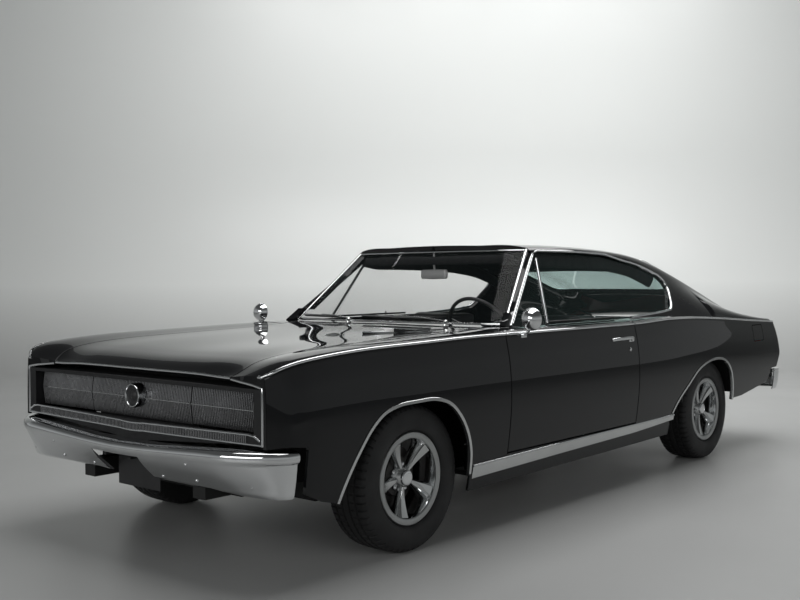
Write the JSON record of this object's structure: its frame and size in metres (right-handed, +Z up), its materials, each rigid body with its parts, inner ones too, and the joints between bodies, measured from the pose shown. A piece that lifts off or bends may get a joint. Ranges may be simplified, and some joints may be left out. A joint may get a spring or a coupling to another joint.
{
  "type": "muscle car",
  "caption": "Black two-door fastback muscle car with turning headlamp doors in a barred grille, opening doors, hood and trunk lid, steered front wheels and a full cabin.",
  "frame": {"origin": "centre of the bounding box on the ground plane, under the middle of the car", "axes": "+Z up, +Y to the rear (the nose faces -Y), +X to the car's left"},
  "size_m": [2.064, 5.171, 1.377],
  "materials": {
    "body_paint": "gloss",
    "glass": "tinted",
    "grille_black": "satin",
    "chrome": "polished",
    "wheel_metal": "polished",
    "tyre_rubber": "matte",
    "lamp_red": "gloss",
    "underbody_black": "satin",
    "chassis_iron": "cast",
    "exhaust_steel": "satin",
    "seat_vinyl": "matte",
    "trim_black": "matte"
  },
  "bodies": {
    "body": {"console": "trim_black", "cowl": "body_paint", "dashboard": "trim_black", "engine": "chassis_iron", "exhaust": "exhaust_steel", "fender_left": "body_paint", "fender_right": "body_paint", "floor_pan": "underbody_black", "front_bumper": "chrome", "front_frame": "underbody_black", "front_seats": "seat_vinyl", "front_suspension": "chassis_iron", "fuel_tank": "underbody_black", "grille": "grille_black", "grille_surround": "chrome", "inside_mirror": "trim_black", "leaf_springs": "chassis_iron", "quarter_glass": "glass", "quarter_left": "body_paint", "quarter_right": "body_paint", "rear_axle": "chassis_iron", "rear_bumper": "chrome", "rear_deck": "body_paint", "rear_seats": "seat_vinyl", "rear_window": "glass", "roof": "body_paint", "steering_wheel": "trim_black", "tail_lamp": "lamp_red", "tail_panel": "body_paint", "windshield": "glass"},
    "door_left": {"door_left": "body_paint", "door_glass_left": "glass", "door_mirror_left": "chrome"},
    "door_right": {"door_right": "body_paint", "door_glass_right": "glass", "door_mirror_right": "chrome"},
    "hood": {"hood": "body_paint"},
    "trunk_lid": {"trunk_lid": "body_paint"},
    "fuel_door": {"fuel_door": "body_paint"},
    "headlamp_pod_left": {"headlamp_pod_left": "grille_black"},
    "headlamp_pod_right": {"headlamp_pod_right": "grille_black"},
    "knuckle_left": {"knuckle_left": "chassis_iron"},
    "knuckle_right": {"knuckle_right": "chassis_iron"},
    "wheel_fl": {"wheel_fl": "wheel_metal", "tyre_fl": "tyre_rubber"},
    "wheel_fr": {"wheel_fr": "wheel_metal", "tyre_fr": "tyre_rubber"},
    "wheel_rl": {"wheel_rl": "wheel_metal", "tyre_rl": "tyre_rubber"},
    "wheel_rr": {"wheel_rr": "wheel_metal", "tyre_rr": "tyre_rubber"}
  },
  "joints": [
    {"name": "door_left_hinge", "type": "hinge", "parent": "body", "child": "door_left", "pos_m": [0.885, -0.956, 0.65], "axis": [0, 0, -1], "range_deg": [0, 65]},
    {"name": "door_right_hinge", "type": "hinge", "parent": "body", "child": "door_right", "pos_m": [-0.885, -0.956, 0.65], "axis": [0, 0, 1], "range_deg": [0, 65]},
    {"name": "hood_hinge", "type": "hinge", "parent": "body", "child": "hood", "pos_m": [0, -0.928, 0.93], "axis": [-1, 0, 0], "range_deg": [0, 50]},
    {"name": "trunk_hinge", "type": "hinge", "parent": "body", "child": "trunk_lid", "pos_m": [0, 1.86, 1.05929], "axis": [1, 0, 0], "range_deg": [0, 60]},
    {"name": "fuel_door_hinge", "type": "hinge", "parent": "body", "child": "fuel_door", "pos_m": [0.90687, 1.994, 0.8], "axis": [0, 0, -1], "range_deg": [0, 90]},
    {"name": "headlamp_left_turn", "type": "hinge", "parent": "body", "child": "headlamp_pod_left", "pos_m": [0.57, -2.419, 0.679], "axis": [1, 0, 0], "range_deg": [0, 180]},
    {"name": "headlamp_right_turn", "type": "hinge", "parent": "body", "child": "headlamp_pod_right", "pos_m": [-0.57, -2.419, 0.679], "axis": [1, 0, 0], "range_deg": [0, 180]},
    {"name": "steer_left", "type": "hinge", "parent": "body", "child": "knuckle_left", "pos_m": [0.665, -1.654, 0.322], "axis": [0, 0, 1], "range_deg": [-30, 30]},
    {"name": "steer_right", "type": "hinge", "parent": "body", "child": "knuckle_right", "pos_m": [-0.665, -1.654, 0.322], "axis": [0, 0, 1], "range_deg": [-30, 30]},
    {"name": "wheel_fl_spin", "type": "hinge", "parent": "knuckle_left", "child": "wheel_fl", "pos_m": [0.767, -1.654, 0.322], "axis": [1, 0, 0], "continuous": true},
    {"name": "wheel_fr_spin", "type": "hinge", "parent": "knuckle_right", "child": "wheel_fr", "pos_m": [-0.767, -1.654, 0.322], "axis": [1, 0, 0], "continuous": true},
    {"name": "wheel_rl_spin", "type": "hinge", "parent": "body", "child": "wheel_rl", "pos_m": [0.767, 1.318, 0.322], "axis": [1, 0, 0], "continuous": true},
    {"name": "wheel_rr_spin", "type": "hinge", "parent": "body", "child": "wheel_rr", "pos_m": [-0.767, 1.318, 0.322], "axis": [1, 0, 0], "continuous": true}
  ],
  "couplings": [
    {"joint": "steer_right", "follows": "steer_left", "ratio": 1},
    {"joint": "headlamp_right_turn", "follows": "headlamp_left_turn", "ratio": 1}
  ]
}
